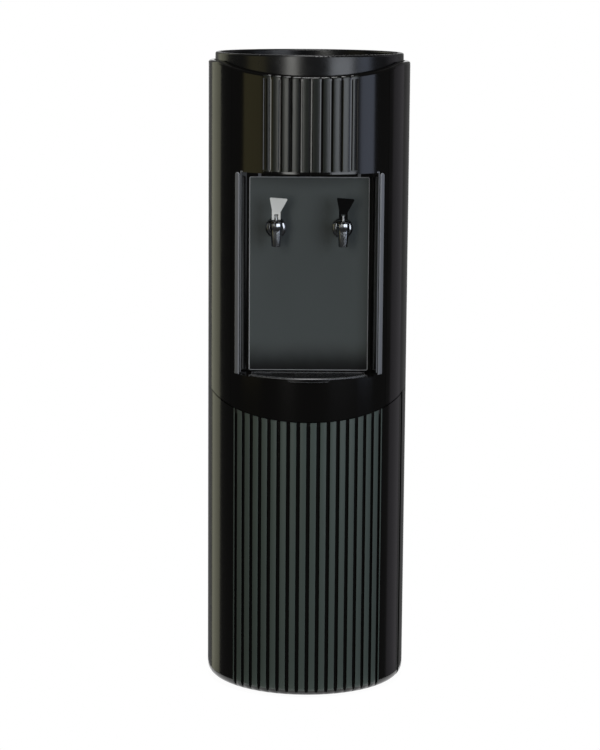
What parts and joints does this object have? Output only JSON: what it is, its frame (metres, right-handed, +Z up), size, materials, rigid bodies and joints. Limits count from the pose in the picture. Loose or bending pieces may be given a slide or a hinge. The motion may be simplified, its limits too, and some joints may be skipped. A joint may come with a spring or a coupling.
{
  "type": "bottom load water cooler",
  "caption": "Floor-standing cylindrical water cooler with a fluted front, a dispensing niche with paddle faucets and drip tray, and a lower door for the bottle.",
  "frame": {"origin": "on the floor under the axis of the cylindrical body", "axes": "+Z up, the front with the faucets faces -Y, +X towards the right of a user who faces the front"},
  "size_m": [0.32, 0.3215, 1.016],
  "materials": {
    "shell_black": "gloss",
    "panel_grey": "satin",
    "tray_black": "satin",
    "paddle_white": "satin",
    "paddle_black": "gloss",
    "faucet_black": "gloss",
    "inner_plastic": "matt",
    "switch_plastic": "satin",
    "foam": "matt",
    "rubber_black": "matt",
    "silicone": "satin",
    "stainless": "brushed",
    "zinc_steel": "satin",
    "black_steel": "satin",
    "panel_steel": "satin",
    "copper": "satin",
    "bright_aluminium": "satin",
    "magnet_grey": "satin"
  },
  "bodies": {
    "cabinet": {"lower_housing": "shell_black", "upper_housing": "shell_black", "front_fascia": "shell_black", "top_collar": "shell_black", "splash_panel": "panel_grey", "door_magnet": "magnet_grey", "hinge_brackets": "zinc_steel", "base_pan": "inner_plastic", "base_feet": "rubber_black", "bottle_platform": "inner_plastic", "compartment_liner": "inner_plastic", "mid_deck": "zinc_steel", "left_faucet_body": "faucet_black", "right_faucet_body": "faucet_black", "faucet_rosettes": "faucet_black", "shank_nuts": "inner_plastic", "faucet_caps": "faucet_black", "tank_insulation": "foam", "cold_tank": "stainless", "evaporator_sleeve": "bright_aluminium", "tank_bracket": "zinc_steel", "support_posts": "zinc_steel", "compressor": "black_steel", "compressor_grommets": "rubber_black", "hot_tank": "stainless", "hot_tank_jacket": "foam", "water_pump": "black_steel", "probe_holder": "inner_plastic", "hose_fitting": "inner_plastic", "pump_suction_tube": "silicone", "tank_fill_tube": "silicone", "cold_outlet_tube": "silicone", "hot_feed_tube": "silicone", "hot_outlet_tube": "silicone", "drain_tube": "silicone", "rear_panel": "panel_steel", "condenser_tube": "black_steel", "condenser_wires": "black_steel", "condenser_clips": "inner_plastic", "refrigerant_lines": "copper", "filter_drier": "copper", "control_box": "inner_plastic", "rocker_switches": "switch_plastic", "power_inlet": "switch_plastic", "drain_fitting": "inner_plastic", "panel_screws": "zinc_steel"},
    "door": {"lower_door": "shell_black", "door_strike": "zinc_steel"},
    "left_stem": {"left_faucet_stem": "stainless"},
    "right_stem": {"right_faucet_stem": "stainless"},
    "left_paddle": {"left_faucet_lever": "paddle_white"},
    "right_paddle": {"right_faucet_lever": "paddle_black"},
    "tray": {"drip_tray": "tray_black"},
    "grille": {"drip_grille": "tray_black"},
    "lid": {"top_lid": "shell_black"},
    "heat_switch_rocker": {"heat_rocker": "switch_plastic"},
    "cool_switch_rocker": {"cool_rocker": "switch_plastic"},
    "probe": {"bottle_probe": "inner_plastic", "bottle_hose": "silicone"}
  },
  "joints": [
    {"name": "door_swing", "type": "hinge", "parent": "cabinet", "child": "door", "pos_m": [0.14331, -0.05358, 0.25], "axis": [0, 0, 1], "range_deg": [0, 95]},
    {"name": "left_stem_lift", "type": "slide", "parent": "cabinet", "child": "left_stem", "axis": [0, 0, 1], "range_m": [0, 0.002]},
    {"name": "left_paddle_tilt", "type": "hinge", "parent": "left_stem", "child": "left_paddle", "pos_m": [-0.052, -0.126, 0.7665], "axis": [1, 0, 0], "range_deg": [0, 20], "stiffness_Nm_per_rad": 0.1, "springref_deg": -5.73},
    {"name": "right_stem_lift", "type": "slide", "parent": "cabinet", "child": "right_stem", "axis": [0, 0, 1], "range_m": [0, 0.002]},
    {"name": "right_paddle_tilt", "type": "hinge", "parent": "right_stem", "child": "right_paddle", "pos_m": [0.052, -0.126, 0.7665], "axis": [1, 0, 0], "range_deg": [0, 20], "stiffness_Nm_per_rad": 0.1, "springref_deg": -5.73},
    {"name": "tray_lift", "type": "slide", "parent": "cabinet", "child": "tray", "axis": [0, 0, 1], "range_m": [0, 0.06]},
    {"name": "grille_lift", "type": "slide", "parent": "tray", "child": "grille", "axis": [0, 0, 1], "range_m": [0, 0.04]},
    {"name": "lid_lift", "type": "slide", "parent": "cabinet", "child": "lid", "axis": [0, 0, 1], "range_m": [0, 0.08]},
    {"name": "heat_switch_tilt", "type": "hinge", "parent": "cabinet", "child": "heat_switch_rocker", "pos_m": [0.02, 0.1159, 0.572], "axis": [1, 0, 0], "range_deg": [-16, 0]},
    {"name": "cool_switch_tilt", "type": "hinge", "parent": "cabinet", "child": "cool_switch_rocker", "pos_m": [0.052, 0.1159, 0.572], "axis": [1, 0, 0], "range_deg": [-16, 0]},
    {"name": "probe_lift", "type": "slide", "parent": "cabinet", "child": "probe", "axis": [0, 0, 1], "range_m": [0, 0.025], "deforming": ["bottle_hose"]}
  ],
  "couplings": [
    {"joint": "left_paddle_tilt", "follows": "left_stem_lift", "rad_per_m": 174.5},
    {"joint": "right_paddle_tilt", "follows": "right_stem_lift", "rad_per_m": 174.5}
  ]
}
